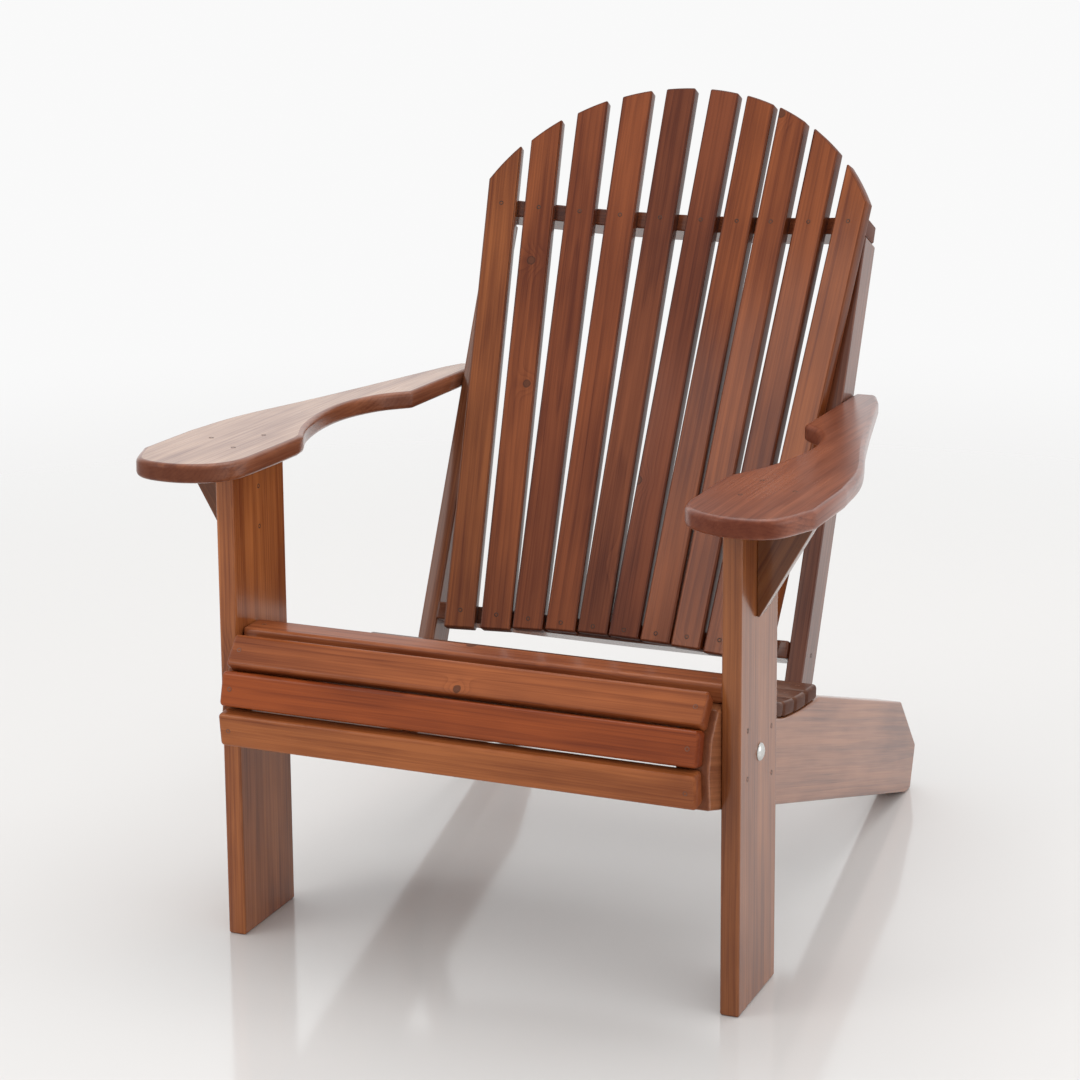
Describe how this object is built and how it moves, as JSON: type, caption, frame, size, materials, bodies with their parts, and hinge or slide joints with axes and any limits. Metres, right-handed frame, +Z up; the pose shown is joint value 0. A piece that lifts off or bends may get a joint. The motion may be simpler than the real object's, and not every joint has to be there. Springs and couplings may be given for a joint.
{
  "type": "adirondack chair",
  "caption": "Low garden chair of varnished boards with a fan-shaped hollowed back, scooped slatted seat, paddle armrests on bracketed legs and side rails that reach the floor behind.",
  "frame": {"origin": "on the floor, under the middle of the overall box", "axes": "+Z up, -Y the way the sitter faces, +X to the right seen from in front"},
  "size_m": [0.804, 0.8824, 0.9294],
  "materials": {
    "leg_wood": "varnished pine, mid brown",
    "side_rail_wood": "varnished pine, mid brown",
    "front_slat_wood": "varnished pine, red brown",
    "seat_slat_wood": "varnished pine, red brown",
    "back_slat_wood": "varnished pine, from tan to dark brown",
    "armrest_wood": "varnished pine, lighter brown",
    "frame_wood": "varnished pine, dark brown",
    "screw_steel": "bronzed, dull",
    "bolt_steel": "zinc plated, satin"
  },
  "bodies": {
    "root": {"arm_bracket_left": "frame_wood", "arm_bracket_right": "frame_wood", "armrest_left": "armrest_wood", "armrest_post_screws": "screw_steel", "armrest_right": "armrest_wood", "armrest_screws": "screw_steel", "back_post_left": "frame_wood", "back_post_right": "frame_wood", "back_slat_1": "back_slat_wood", "back_slat_10": "back_slat_wood", "back_slat_2": "back_slat_wood", "back_slat_3": "back_slat_wood", "back_slat_4": "back_slat_wood", "back_slat_5": "back_slat_wood", "back_slat_6": "back_slat_wood", "back_slat_7": "back_slat_wood", "back_slat_8": "back_slat_wood", "back_slat_9": "back_slat_wood", "back_slat_screws_lower": "screw_steel", "back_slat_screws_upper": "screw_steel", "bolt_nut_left": "bolt_steel", "bolt_nut_right": "bolt_steel", "bolt_washer_left": "bolt_steel", "bolt_washer_right": "bolt_steel", "bracket_screws": "screw_steel", "carriage_bolt_left": "bolt_steel", "carriage_bolt_right": "bolt_steel", "front_leg_left": "leg_wood", "front_leg_right": "leg_wood", "front_slat_lower": "front_slat_wood", "front_slat_middle": "front_slat_wood", "front_slat_screws": "screw_steel", "front_slat_upper": "front_slat_wood", "leg_screws": "screw_steel", "lower_back_rail": "frame_wood", "lower_rail_screws": "screw_steel", "post_screws": "screw_steel", "seat_slat_1": "seat_slat_wood", "seat_slat_2": "seat_slat_wood", "seat_slat_3": "seat_slat_wood", "seat_slat_4": "seat_slat_wood", "seat_slat_5": "seat_slat_wood", "seat_slat_6": "seat_slat_wood", "seat_slat_7": "seat_slat_wood", "seat_slat_8": "seat_slat_wood", "seat_slat_screws": "screw_steel", "side_rail_left": "side_rail_wood", "side_rail_right": "side_rail_wood", "upper_back_rail": "frame_wood", "upper_rail_screws": "screw_steel"}
  },
  "joints": []
}
